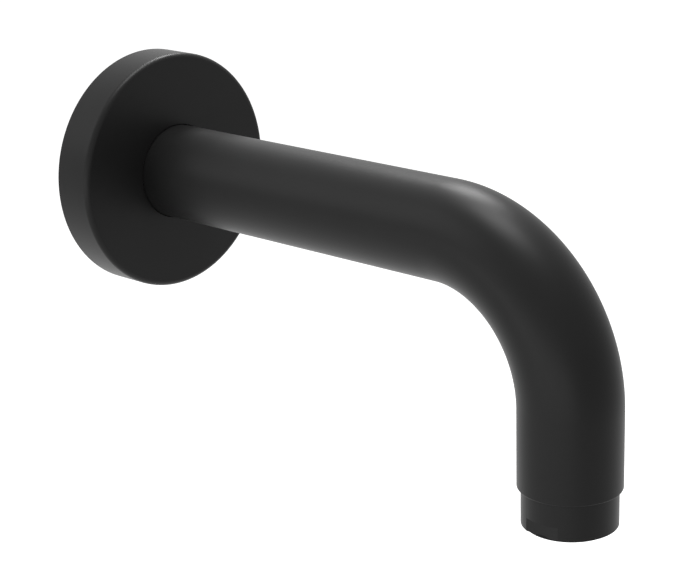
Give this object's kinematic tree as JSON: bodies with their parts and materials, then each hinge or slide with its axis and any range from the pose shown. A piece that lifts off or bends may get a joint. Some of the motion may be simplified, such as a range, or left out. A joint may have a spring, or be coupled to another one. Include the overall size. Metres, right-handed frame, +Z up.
{
  "type": "bath spout",
  "caption": "Wall-mounted bath spout: a round tube bent down at its end, with a disc wall flange, a threaded inlet nipple behind it and a screw-in aerator, in matt black.",
  "frame": {"origin": "on the inlet axis, at the wall face", "axes": "+Y into the wall along the inlet axis, so the spout reaches out along -Y; +Z up, so it pours along -Z; X from side to side"},
  "size_m": [0.066, 0.181, 0.1007],
  "materials": {
    "matt_black": "matt black coating on brass, fine and even",
    "brass": "turned, bare",
    "black_rubber": "moulded, dull",
    "stainless": "turned",
    "pale_plastic": "moulded, satin",
    "dark_plastic": "moulded, satin"
  },
  "bodies": {
    "root": {"spout_tube": "matt_black", "wall_flange": "matt_black", "aerator_housing": "matt_black", "inlet_nipple": "brass", "nipple_seal_front": "black_rubber", "nipple_seal_rear": "black_rubber", "flange_grip_ring": "black_rubber", "aerator_washer": "black_rubber", "set_screw": "stainless", "aerator_filter_dome": "pale_plastic", "aerator_jet_plate": "pale_plastic", "aerator_sleeve": "dark_plastic", "aerator_outlet_grid": "dark_plastic"}
  },
  "joints": []
}
